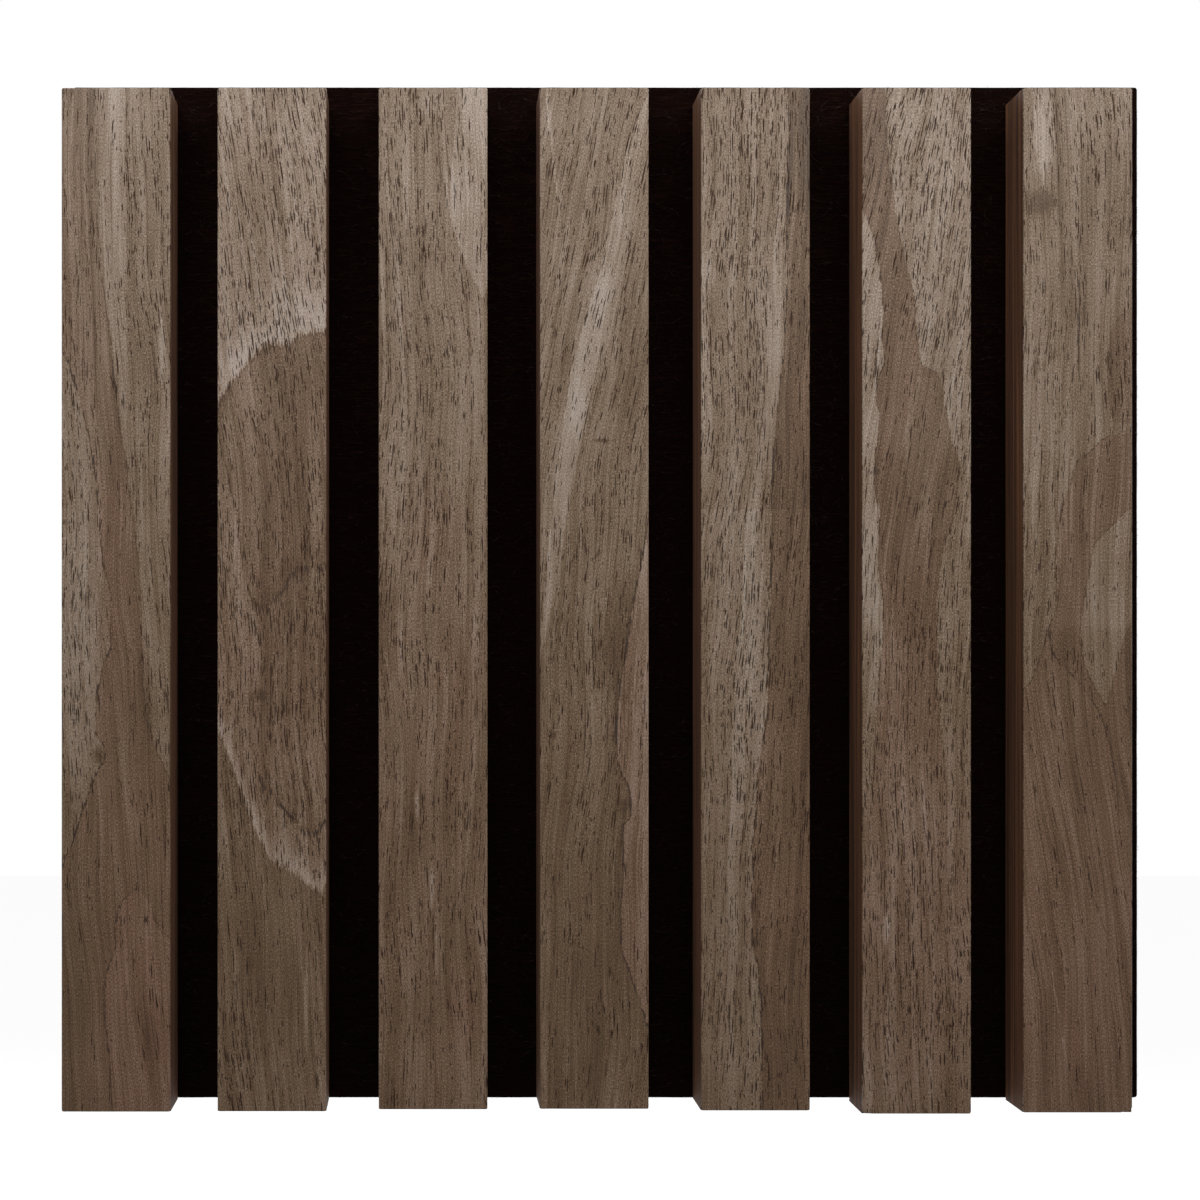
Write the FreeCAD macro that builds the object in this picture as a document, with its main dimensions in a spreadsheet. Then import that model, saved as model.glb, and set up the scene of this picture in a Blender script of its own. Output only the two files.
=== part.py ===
"""Acoustic slat wall panel.

Seven slats stand side by side on a board of pressed polyester felt. A slat is a strip of
dark-stained fibreboard with a thin sheet of real wood glued to its face. Each slat is held from
behind by a row of wire staples, driven through the felt into the fibreboard.

Frame: +X runs to the right across the slats, +Y into the wall, +Z up along the slats.
The origin is the middle of the felt board's back, which lies on the wall. Sizes are in millimetres.
"""

import FreeCAD
import Part
import os

import Sketcher

# Driving dimensions. Each one is a cell of the document's sheet, under the name given here.
SIZES = {
    "slat_count": 7,
    "slat_width": 27.0,
    "slat_length": 254.0,
    # Clear space between neighbouring slats. The first slat was glued a little closer.
    "slat_gap": 13.0,
    "first_gap": 11.7,
    # Depths, from the wall forwards: felt board, fibreboard core, wood sheet.
    "felt_depth": 9.0,
    "core_depth": 11.4,
    "veneer_depth": 0.6,
    # Small radius sanded on the front edges of the wood sheet.
    "edge_ease": 0.25,
    # Bare felt past the last slat and above the slats.
    "side_lip": 7.0,
    "top_lip": 4.9,
    # Staples: flat wire bent to a U, with slanting points.
    "wire_width": 0.95,
    "wire_thickness": 0.65,
    "crown_width": 12.8,
    "leg_length": 16.0,
    "leg_point": 1.3,
    "bend_radius": 0.5,
    # How far the crown is driven below the felt's back, and the room round and ahead of the wire.
    "crown_sink": 0.2,
    "wire_room": 0.05,
    "tip_room": 0.2,
    "staples_per_slat": 3,
    "staple_spacing": 98.0,
}

# How far each slat's sawn lower end reaches past the felt's lower edge, from left to right.
LOWER_END_REACH = (0.1, 0.0, -0.5, -0.6, -0.2, 0.6, 0.3)

SHEET = "Sizes"
TOLERANCE = 1e-4

# A sketch's own two axes, as its constraints number them: -2 and -1
UPRIGHT_AXIS, LEVEL_AXIS = range(-2, 0)


def cell(name):
    """The name by which an expression reads one cell of the sheet."""
    return f"{SHEET}.{name}"


def reach_name(number):
    """The cell that holds how far slat number reaches past the felt's lower edge."""
    return f"lower_reach_{number}"


def make_sheet(doc):
    """Writes the driving dimensions into a sheet, one row each."""
    sheet = doc.addObject("Spreadsheet::Sheet", SHEET)
    values = dict(SIZES)
    for number in slat_numbers():
        reach = LOWER_END_REACH[(number - 1) % len(LOWER_END_REACH)]
        values[reach_name(number)] = reach
    for row, (name, value) in enumerate(values.items(), start=1):
        sheet.set(f"A{row}", name)
        sheet.set(f"B{row}", str(value))
        sheet.setAlias(f"B{row}", name)
    doc.recompute()
    return sheet


def slat_numbers():
    """Slats are numbered from 1 at the left."""
    return range(1, int(SIZES["slat_count"]) + 1)


# Expressions for the places that several pieces share
SLATS_WIDTH = (
    f"({cell('slat_count')} * {cell('slat_width')} + {cell('first_gap')}"
    f" + ({cell('slat_count')} - 2) * {cell('slat_gap')})"
)
FELT_WIDTH = f"({SLATS_WIDTH} + {cell('side_lip')})"
FELT_HEIGHT = f"({cell('slat_length')} + {cell('top_lip')})"
FELT_BOTTOM = f"(-{FELT_HEIGHT} / 2)"
CROWN_BACK = f"(-{cell('crown_sink')})"
CORE_BACK = f"(-{cell('felt_depth')})"
VENEER_BACK = f"(-{cell('felt_depth')} - {cell('core_depth')})"


def slat_centre(number):
    """The middle of a slat across the panel, as an expression."""
    gaps = f"{cell('first_gap')} + {number - 2} * {cell('slat_gap')}" if number > 1 else "0"
    return f"-{FELT_WIDTH} / 2 + {number - 0.5} * {cell('slat_width')} + {gaps}"


def slat_bottom(number):
    """The height of a slat's lower end, as an expression."""
    return f"{FELT_BOTTOM} - {cell(reach_name(number))}"


def slat_height(number):
    """A slat's length, from its own lower end to the line that all upper ends share."""
    return f"{cell('slat_length')} + {cell(reach_name(number))}"


def staple_height(row):
    """The height of one row of staples. The rows are spread evenly about the slats' middle."""
    middle = f"{FELT_BOTTOM} + {cell('slat_length')} / 2"
    return f"{middle} + ({row} - ({cell('staples_per_slat')} - 1) / 2) * {cell('staple_spacing')}"


def bind_place(obj, across, back, up):
    """Ties an object's place to three expressions."""
    for axis, expression in zip("xyz", (across, back, up)):
        obj.setExpression(f".Placement.Base.{axis}", expression)


def origin_plane(body, role):
    """One of a body's own origin planes."""
    return next(f for f in body.Origin.OriginFeatures if f.Role == role)


def add_sketch(body, role):
    """An empty sketch on one of the body's origin planes."""
    sketch = body.newObject("Sketcher::SketchObject", f"{body.Name}_outline")
    sketch.AttachmentSupport = [(origin_plane(body, role), "")]
    sketch.MapMode = "FlatFace"
    return sketch


def draw_polygon(sketch, points):
    """Closed outline of straight lines through the points, joined end to end."""
    corners = [FreeCAD.Vector(x, y, 0) for x, y in points]
    for start, end in zip(corners, corners[1:] + corners[:1]):
        sketch.addGeometry(Part.LineSegment(start, end), False)
    for line in range(len(corners)):
        following = (line + 1) % len(corners)
        sketch.addConstraint(Sketcher.Constraint("Coincident", line, 2, following, 1))


def fix_size(sketch, kind, ends, name, expression):
    """A named distance between two line ends, tied to an expression."""
    index = sketch.addConstraint(Sketcher.Constraint(kind, *ends, 1.0))
    sketch.renameConstraint(index, name)
    sketch.setExpression(f"Constraints.{name}", expression)


def draw_rectangle(sketch, width, height):
    """Rectangle standing on the sketch's level axis, the same distance to each side of upright."""
    draw_polygon(sketch, [(-1, 0), (1, 0), (1, 1), (-1, 1)])
    low, right, high, left = range(4)
    sketch.addConstraint(Sketcher.Constraint("Horizontal", high))
    for line in (right, left):
        sketch.addConstraint(Sketcher.Constraint("Vertical", line))
    sketch.addConstraint(Sketcher.Constraint("PointOnObject", low, 1, LEVEL_AXIS))
    sketch.addConstraint(Sketcher.Constraint("Symmetric", low, 1, low, 2, UPRIGHT_AXIS))
    fix_size(sketch, "DistanceX", (low, 1, low, 2), "width", width)
    fix_size(sketch, "DistanceY", (right, 1, right, 2), "height", height)


def make_board(doc, name, width, height, depth):
    """Flat board: an upright rectangle, given its depth towards the front."""
    body = doc.addObject("PartDesign::Body", name)
    sketch = add_sketch(body, "XZ_Plane")
    draw_rectangle(sketch, width, height)
    doc.recompute()
    pad = body.newObject("PartDesign::Pad", f"{name}_pad")
    pad.Profile = sketch
    pad.setExpression("Length", depth)
    doc.recompute()
    return body


def rough_wire_corners():
    """A staple's corners, near enough for the sketch's constraints to start from."""
    wire = SIZES["wire_thickness"]
    half, leg = SIZES["crown_width"] / 2, SIZES["leg_length"]
    inner, shoulder = half - wire, leg - SIZES["leg_point"]
    right = [(half, 0), (half, -leg), (inner, -shoulder), (inner, -wire)]
    left = [(-x, y) for x, y in reversed(right)]
    return [left[-1], *right, *left[:-1]]


def make_wire_form(doc, name, crown, leg, crown_wire, leg_wire, wire_width):
    """A wire bent to a U: its crown lies across the back and its two legs point forwards."""
    body = doc.addObject("PartDesign::Body", name)
    sketch = add_sketch(body, "XY_Plane")
    draw_polygon(sketch, rough_wire_corners())
    back, right, right_tip, right_inner, under, _, left_tip, _ = range(8)
    for line in (right, right_inner):
        sketch.addConstraint(Sketcher.Constraint("Vertical", line))
    sketch.addConstraint(Sketcher.Constraint("PointOnObject", back, 1, LEVEL_AXIS))
    mirrored_points = (
        (back, 1, back, 2),
        (under, 1, under, 2),
        (right_tip, 1, left_tip, 2),
        (right_tip, 2, left_tip, 1),
    )
    for points in mirrored_points:
        sketch.addConstraint(Sketcher.Constraint("Symmetric", *points, UPRIGHT_AXIS))
    fix_size(sketch, "DistanceX", (back, 1, back, 2), "crown", crown)
    fix_size(sketch, "DistanceY", (right, 2, right, 1), "leg", leg)
    fix_size(sketch, "DistanceY", (under, 1, back, 2), "crown_wire", crown_wire)
    fix_size(sketch, "DistanceX", (right_tip, 2, right_tip, 1), "leg_wire", leg_wire)
    fix_size(sketch, "DistanceY", (right_tip, 1, right_tip, 2), "point", cell("leg_point"))
    doc.recompute()
    pad = body.newObject("PartDesign::Pad", f"{name}_pad")
    pad.Profile = sketch
    pad.Midplane = True
    pad.setExpression("Length", wire_width)
    doc.recompute()
    return body


def make_staple(doc):
    """One staple of flat wire, with its two bends rounded on the outside."""
    wire = cell("wire_thickness")
    body = make_wire_form(
        doc, "staple", cell("crown_width"), cell("leg_length"), wire, wire, cell("wire_width")
    )
    round_edges(doc, body, "bend_radius", is_outer_bend)
    return body


def make_staple_hole(doc):
    """The room that one staple takes up, from the felt's back face forwards."""
    room, sink = cell("wire_room"), cell("crown_sink")
    return make_wire_form(
        doc,
        "staple_hole",
        crown=f"{cell('crown_width')} + 2 * {room}",
        leg=f"{sink} + {cell('leg_length')} + {cell('tip_room')}",
        crown_wire=f"{sink} + {cell('wire_thickness')} + {room}",
        leg_wire=f"{cell('wire_thickness')} + 2 * {room}",
        wire_width=f"{cell('wire_width')} + 2 * {room}",
    )


def is_outer_bend(edge):
    """The two edges where the crown turns into the legs, on the outside of the bend."""
    at_a_bend = is_near(abs(edge.CenterOfMass.x), SIZES["crown_width"] / 2)
    return at_a_bend and is_near(edge.CenterOfMass.y, 0)


def is_front_edge(edge):
    """The four edges round the face of a wood sheet."""
    return all(is_near(v.Y, -SIZES["veneer_depth"]) for v in edge.Vertexes)


def is_near(value, target):
    return abs(value - target) < TOLERANCE


def round_edges(doc, body, radius, wanted):
    """Rounds those edges of a body that the test picks out."""
    feature = body.Tip
    names = [f"Edge{n}" for n, edge in enumerate(feature.Shape.Edges, start=1) if wanted(edge)]
    fillet = body.newObject("PartDesign::Fillet", f"{body.Name}_rounding")
    fillet.Base = (feature, names)
    fillet.setExpression("Radius", cell(radius))
    doc.recompute()


def place_copies(doc, original, number, back):
    """Copies of a staple form at each staple of one slat, joined in one group."""
    copies = []
    for row in range(int(SIZES["staples_per_slat"])):
        copy = doc.addObject("App::Link", f"{original.Name}_{number}_{row + 1}")
        copy.LinkedObject = original
        bind_place(copy, slat_centre(number), back, staple_height(row))
        copies.append(copy)
    return join(doc, f"{original.Name}s_{number}", copies)


def join(doc, name, pieces):
    """Several pieces held together as one group of separate solids."""
    group = doc.addObject("Part::Compound", name)
    group.Links = pieces
    doc.recompute()
    return group


def cut(doc, name, blank, holes):
    """A board with the staples' room taken out."""
    piece = doc.addObject("Part::Cut", name)
    piece.Base = blank
    piece.Tool = holes
    doc.recompute()
    return piece


def make_felt(doc, holes):
    """The felt board, slotted at the back for the staples' crowns and pierced for their legs."""
    blank = make_board(doc, "felt_board", FELT_WIDTH, FELT_HEIGHT, cell("felt_depth"))
    bind_place(blank, "0", "0", FELT_BOTTOM)
    return cut(doc, "felt_backing", blank, join(doc, "felt_holes", holes))


def make_slat_core(doc, number, holes):
    """The fibreboard strip of one slat, with the holes that the staples' legs have made."""
    name = f"slat_core_{number}"
    blank = make_board(
        doc, f"{name}_strip", cell("slat_width"), slat_height(number), cell("core_depth")
    )
    bind_place(blank, slat_centre(number), CORE_BACK, slat_bottom(number))
    return cut(doc, name, blank, holes)


def make_veneer(doc, number):
    """The wood sheet on the face of one slat."""
    name = f"veneer_face_{number}"
    sheet = make_board(doc, name, cell("slat_width"), slat_height(number), cell("veneer_depth"))
    round_edges(doc, sheet, "edge_ease", is_front_edge)
    bind_place(sheet, slat_centre(number), VENEER_BACK, slat_bottom(number))
    return sheet


def check(doc, pieces):
    """Stops if an object has failed or a piece has no sound shape."""
    for obj in doc.Objects:
        if "Invalid" in obj.State or "Error" in obj.State:
            raise RuntimeError(f"{obj.Label} has failed: {obj.State}")
    for piece in pieces:
        if piece.Shape.isNull() or not piece.Shape.isValid():
            raise RuntimeError(f"{piece.Label} has no sound shape")


def main():
    doc = FreeCAD.newDocument("slat_panel")
    make_sheet(doc)
    staple = make_staple(doc)
    hole = make_staple_hole(doc)
    holes = {number: place_copies(doc, hole, number, "0") for number in slat_numbers()}
    wires = [place_copies(doc, staple, number, CROWN_BACK) for number in slat_numbers()]

    pieces = [make_felt(doc, list(holes.values())), join(doc, "staples", wires)]
    for number in slat_numbers():
        pieces.append(make_slat_core(doc, number, holes[number]))
        pieces.append(make_veneer(doc, number))
    doc.recompute()
    check(doc, pieces)

    os.makedirs("parts", exist_ok=True)
    for piece in pieces:
        piece.Shape.exportStep(f"parts/{piece.Label}.step")
        print(piece.Label, len(piece.Shape.Solids), round(piece.Shape.Volume, 3))


main()
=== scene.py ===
"""The looks of an acoustic slat wall panel: felt, stained fibreboard, walnut veneer and staples.

Everything is in metres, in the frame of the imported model: +X runs across the slats, +Y into the
wall and +Z up along the slats. The origin is the middle of the felt's back.
"""

import math
from dataclasses import dataclass

import bpy
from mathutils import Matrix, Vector


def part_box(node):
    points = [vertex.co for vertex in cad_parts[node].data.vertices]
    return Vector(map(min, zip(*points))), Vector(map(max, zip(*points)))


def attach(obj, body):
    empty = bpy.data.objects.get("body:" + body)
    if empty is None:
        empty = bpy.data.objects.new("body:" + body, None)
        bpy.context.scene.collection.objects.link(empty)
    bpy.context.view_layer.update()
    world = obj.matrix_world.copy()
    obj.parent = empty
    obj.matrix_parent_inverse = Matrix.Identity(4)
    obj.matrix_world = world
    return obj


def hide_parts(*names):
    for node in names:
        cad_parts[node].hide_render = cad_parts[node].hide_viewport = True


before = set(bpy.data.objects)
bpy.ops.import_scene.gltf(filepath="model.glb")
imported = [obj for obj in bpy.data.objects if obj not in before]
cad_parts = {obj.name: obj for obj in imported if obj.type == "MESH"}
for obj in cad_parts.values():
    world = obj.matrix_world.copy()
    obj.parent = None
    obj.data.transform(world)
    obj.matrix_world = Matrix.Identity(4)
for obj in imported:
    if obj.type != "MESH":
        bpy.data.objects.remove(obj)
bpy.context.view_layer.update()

# Felt board
# A board of needled and pressed polyester fibre, dyed nearly black. Its cut edges are a little
# soft, and each staple's crown has pulled a shallow dimple into its back.

MM = 0.001

FELT_LOW, FELT_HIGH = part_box("felt_backing")
FELT_CELL = 1.5 * MM  # a step of its mesh
FELT_LEVELS = 12  # rows of its mesh from back to front
FELT_EDGE = 0.9 * MM  # radius of the cut edges
FELT_EDGE_STEPS = 3.0  # rows of its mesh in each of them
FELT_WAVE = 0.16 * MM  # how uneven its faces are
FELT_LUMPS = 0.16 / MM  # lumps in a metre
DIMPLE_DEPTH = 0.4 * MM
DIMPLE_REACH = 2.6 * MM

# Layers of fibres: their turn from level, in degrees, and lumps in a millimetre along and across
FELT_LAYERS = ((4, 0.16, 2.4), (-27, 0.22, 2.0), (34, 0.2, 2.2))
FELT_CLUMPS = 0.11  # in a millimetre
LINT_CELLS = 0.16  # places for a speck in a millimetre
LINT_SIZE = 0.022  # radius of a speck, as a share of its place
FELT_DARK = (0.003, 0.0008, 0.0004)
FELT_PALE = (0.0125, 0.0045, 0.0028)
LINT_GREY = (0.06, 0.045, 0.038)


class Tree:
    """A node tree written one node at a time. Inputs are sockets, numbers or tuples."""

    def __init__(self, node_tree):
        self.nodes = node_tree.nodes
        self.links = node_tree.links

    def add(self, kind, inputs=(), **settings):
        """A node of a kind with its settings, and its inputs by name or number."""
        node = self.nodes.new(kind)
        for name, value in settings.items():
            setattr(node, name, value)
        for key, value in dict(inputs).items():
            self.feed(node.inputs[key], value)
        return node

    def feed(self, socket, value):
        """Links another node's socket, or writes a plain value."""
        if isinstance(value, bpy.types.NodeSocket):
            self.links.new(value, socket)
        else:
            socket.default_value = value

    def math(self, operation, *values):
        return self.add("ShaderNodeMath", enumerate(values), operation=operation).outputs[0]

    def plus(self, first, second):
        return self.math("ADD", first, second)

    def minus(self, first, second):
        return self.math("SUBTRACT", first, second)

    def times(self, first, second):
        return self.math("MULTIPLY", first, second)

    def over(self, first, second):
        return self.math("DIVIDE", first, second)

    def vector_math(self, operation, *values):
        node = self.add("ShaderNodeVectorMath", enumerate(values), operation=operation)
        return node.outputs["Value" if operation in ("LENGTH", "DOT_PRODUCT") else "Vector"]

    def scaled(self, vector, factor):
        node = self.add("ShaderNodeVectorMath", {"Vector": vector, "Scale": factor}, operation="SCALE")
        return node.outputs["Vector"]

    def vector(self, x=0.0, y=0.0, z=0.0):
        return self.add("ShaderNodeCombineXYZ", {"X": x, "Y": y, "Z": z}).outputs[0]

    def parts(self, vector):
        return list(self.add("ShaderNodeSeparateXYZ", {0: vector}).outputs)

    def noise(self, vector, detail=2.0, roughness=0.5, dimensions="3D"):
        """Soft noise from 0 to 1, mostly near a half, with one lump in each unit."""
        inputs = {"Vector": vector, "Scale": 1.0, "Detail": detail, "Roughness": roughness}
        node = self.add("ShaderNodeTexNoise", inputs, noise_dimensions=dimensions)
        return node.outputs[0]

    def span(self, value, low, high, to_low=0.0, to_high=1.0, kind="SMOOTHSTEP"):
        """Carries a value from one span to another, and holds it past both ends."""
        ends = enumerate((value, low, high, to_low, to_high))
        return self.add("ShaderNodeMapRange", ends, interpolation_type=kind).outputs[0]

    def mix(self, share, first, second):
        """A colour between two others."""
        node = self.add("ShaderNodeMix", {0: share, 6: first, 7: second}, data_type="RGBA")
        return node.outputs[2]

    def total(self, *values):
        """The sum of all the values."""
        total = values[0]
        for value in values[1:]:
            total = self.plus(total, value)
        return total


def opaque(colour):
    return (*colour, 1.0)


def new_material(name):
    """An empty material, its Tree, and a place on the object in millimetres."""
    material = bpy.data.materials.new(name)
    material.use_nodes = True
    material.node_tree.nodes.clear()
    tree = Tree(material.node_tree)
    place = tree.add("ShaderNodeTexCoord").outputs["Object"]
    return material, tree, tree.scaled(place, 1 / MM)


def finish_material(tree, colour, roughness, height, bump, depth, **fixed):
    """A Principled shader with a bump from the height, and the material's output."""
    relief = {"Height": height, "Strength": bump, "Distance": depth}
    normal = tree.add("ShaderNodeBump", relief).outputs[0]
    inputs = {"Base Color": colour, "Roughness": roughness, "Normal": normal}
    for name, value in fixed.items():
        inputs[name.replace("_", " ")] = value
    shader = tree.add("ShaderNodeBsdfPrincipled", inputs)
    tree.add("ShaderNodeOutputMaterial", {"Surface": shader.outputs[0]})


def make_felt_material():
    """Matted fibres that cross each other, mostly lying level, with rare specks of lint."""
    material, tree, place = new_material("felt_black")
    strands = []
    for turn, along, across in FELT_LAYERS:
        layout = {
            "Vector": place,
            "Location": (turn, 0.0, 0.0),
            "Rotation": (0.0, math.radians(turn), 0.0),
            "Scale": (along, across, across),
        }
        turned = tree.add("ShaderNodeMapping", layout).outputs[0]
        strands.append(tree.noise(turned, 2.0, 0.6))
    nearest = strands[0]
    for strand in strands[1:]:
        nearest = tree.math("MAXIMUM", nearest, strand)
    matted = tree.span(nearest, 0.5, 0.8)
    clumps = tree.span(tree.noise(tree.scaled(place, FELT_CLUMPS), 3.0, 0.6), 0.3, 0.75, 0.35, 1.0)
    pale = tree.times(matted, clumps)
    colour = tree.mix(pale, opaque(FELT_DARK), opaque(FELT_PALE))
    cells = tree.add("ShaderNodeTexVoronoi", {"Vector": place, "Scale": LINT_CELLS})
    speck = tree.math("LESS_THAN", cells.outputs["Distance"], LINT_SIZE)
    colour = tree.mix(speck, colour, opaque(LINT_GREY))
    height = tree.plus(matted, tree.noise(tree.scaled(place, 1.6), 3.0, 0.6))
    finish_material(tree, colour, 0.96, height, bump=0.9, depth=0.16 * MM, Specular_IOR_Level=0.03)
    return material


FELT = make_felt_material()


class Shaping(Tree):
    """A tree of Geometry Nodes with named inputs, which makes one mesh."""

    def __init__(self, name):
        self.group = bpy.data.node_groups.new(name, "GeometryNodeTree")
        super().__init__(self.group)
        self.start = self.add("NodeGroupInput")
        self.identifiers = {}
        for way in ("INPUT", "OUTPUT"):
            self.group.interface.new_socket("Geometry", in_out=way, socket_type="NodeSocketGeometry")

    def ask(self, name, kind="Float"):
        """A named input of the tree, as a socket to read."""
        made = self.group.interface.new_socket(name, socket_type=f"NodeSocket{kind}")
        self.identifiers[name] = made.identifier
        return self.start.outputs[name]

    def box(self):
        """A box from -1 to 1, with as many rows of points along each axis as its inputs say."""
        steps = [self.ask(f"Steps {axis}", "Int") for axis in "XYZ"]
        counts = {f"Vertices {axis}": count for axis, count in zip("XYZ", steps)}
        cube = self.add("GeometryNodeMeshCube", {"Size": (2.0, 2.0, 2.0), **counts}).outputs[0]
        return cube, steps, self.parts(self.add("GeometryNodeInputPosition").outputs[0])

    def held(self, place, inner):
        """The nearest place within an inner box about the middle."""
        low = self.scaled(inner, -1.0)
        return self.vector_math("MAXIMUM", self.vector_math("MINIMUM", place, inner), low)

    def end(self, geometry, material):
        """Makes instances real, gives the material and closes the tree."""
        real = self.add("GeometryNodeRealizeInstances", {0: geometry}).outputs[0]
        dressed = self.add("GeometryNodeSetMaterial", {"Geometry": real, "Material": material})
        self.add("NodeGroupOutput", {0: dressed.outputs[0]})

    def make(self, name, values, base=None):
        """A plain mesh object, from one run of the tree with these values."""
        mesh = base.copy() if base else bpy.data.meshes.new(name)
        obj = bpy.data.objects.new(name, mesh)
        bpy.context.scene.collection.objects.link(obj)
        modifier = obj.modifiers.new("shape", "NODES")
        modifier.node_group = self.group
        for label, value in values.items():
            modifier[self.identifiers[label]] = value
        evaluated = obj.evaluated_get(bpy.context.evaluated_depsgraph_get())
        made = bpy.data.meshes.new_from_object(evaluated)
        obj.modifiers.remove(modifier)
        obj.data = made
        made.name = name
        made.polygons.foreach_set("use_smooth", [True] * len(made.polygons))
        return obj


def row_of_steps(tree, share, half, steps, edge, edge_steps):
    """Carries a share from -1 to 1 to a place in a length, with short steps near both ends."""
    rows = tree.over(tree.minus(steps, 1.0), 2.0)
    inward = tree.times(tree.minus(1.0, tree.math("ABSOLUTE", share)), rows)
    rest = tree.minus(half, edge)
    near = tree.span(inward, 0.0, edge_steps, 0.0, edge, "LINEAR")
    far = tree.span(inward, edge_steps, rows, 0.0, rest, "LINEAR")
    away = tree.minus(half, tree.plus(near, far))
    return tree.times(tree.math("SIGN", share), away)


def make_felt_shape():
    """A closed box of small faces with rounded edges, uneven faces and a dimple at each staple."""
    tree = Shaping("felt_shape")
    middle, half = tree.ask("Middle", "Vector"), tree.ask("Half size", "Vector")
    edge, wave = tree.ask("Edge radius"), tree.ask("Unevenness")
    depth, reach = tree.ask("Dimple depth"), tree.ask("Dimple reach")
    cube, steps, shares = tree.box()
    place = tree.vector(
        *(
            row_of_steps(tree, share, size, count, edge, FELT_EDGE_STEPS)
            for share, size, count in zip(shares, tree.parts(half), steps)
        )
    )
    inner = tree.vector_math("SUBTRACT", half, tree.vector(edge, edge, edge))
    core = tree.held(place, inner)
    facing = tree.vector_math("NORMALIZE", tree.vector_math("SUBTRACT", place, core))
    lumps = tree.noise(tree.scaled(place, FELT_LUMPS), 3.0, 0.65)
    swell = tree.minus(edge, tree.times(lumps, wave))
    shaped = tree.vector_math("ADD", core, tree.scaled(facing, swell))
    placed = tree.vector_math("ADD", shaped, middle)
    board = tree.add("GeometryNodeSetPosition", {"Geometry": cube, "Position": placed}).outputs[0]
    away = tree.add("GeometryNodeProximity", {0: tree.start.outputs[0]}).outputs["Distance"]
    fall = tree.span(away, 0.0, reach, 1.0, 0.0)
    _, height, _ = tree.parts(tree.add("GeometryNodeInputPosition").outputs[0])
    _, middle_height, _ = tree.parts(middle)
    at_back = tree.math("GREATER_THAN", height, middle_height)
    sink = tree.times(tree.times(fall, depth), at_back)
    press = {"Geometry": board, "Offset": tree.vector(y=tree.times(sink, -1.0))}
    tree.end(tree.add("GeometryNodeSetPosition", press).outputs[0], FELT)
    return tree


def steps_over(length, cell):
    """How many rows of points a length takes."""
    return round(length / cell) + 1


felt_size = FELT_HIGH - FELT_LOW
felt_board = make_felt_shape().make(
    "felt_board",
    {
        "Middle": (FELT_LOW + FELT_HIGH) / 2,
        "Half size": felt_size / 2,
        "Edge radius": FELT_EDGE,
        "Unevenness": FELT_WAVE,
        "Dimple depth": DIMPLE_DEPTH,
        "Dimple reach": DIMPLE_REACH,
        "Steps X": steps_over(felt_size.x, FELT_CELL),
        "Steps Y": FELT_LEVELS,
        "Steps Z": steps_over(felt_size.z, FELT_CELL),
    },
    base=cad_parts["staples"].data,
)
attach(felt_board, "root")
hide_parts("felt_backing")

# Nap of the felt
# Loose ends of the felt's own fibres, which stand a little proud wherever the board is bare.
# Most lie nearly level, in bent arcs, and both their ends run back into the board.

SLATS = sorted(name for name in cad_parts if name.startswith("slat_core"))
SLAT_BOXES = [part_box(name) for name in SLATS]
FIBRE_LENGTH = 4.6 * MM
FIBRE_DENSITY = {"front": 0.26e6, "back": 0.098e6}  # fibres in a square metre of bare felt
FIBRE_BENDS = ((-0.22, 0.05), (0.1, 0.09), (0.3, 0.04))  # sideways and upwards, for a unit length
FIBRE_ROOT = -0.02  # how deep both ends are, for a unit length
FIBRE_RADIUS = 0.0075  # for a unit length
FIBRE_SIZES = (0.5, 1.5)  # shortest and longest, as shares of the usual length
FIBRE_WAYS = (1.0, 0.5, 0.4)  # how far they point along each axis: mostly across the slats
FIBRE_LEVELLED = 0.94  # how much of their rise from the board is taken away
FIBRE_DARK = (0.004, 0.0013, 0.0008)
FIBRE_PALE = (0.05, 0.028, 0.021)


def make_fibre_material():
    """Dyed fibres, some of them paler than the board."""
    material, tree, place = new_material("felt_fibre")
    shade = tree.span(tree.noise(tree.scaled(place, 0.8), 3.0, 0.7), 0.46, 0.72)
    colour = tree.mix(shade, opaque(FIBRE_DARK), opaque(FIBRE_PALE))
    rings = tree.noise(tree.scaled(place, 6.0))
    finish_material(tree, colour, 0.7, rings, bump=0.2, depth=0.01 * MM, Specular_IOR_Level=0.06)
    return material


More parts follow.
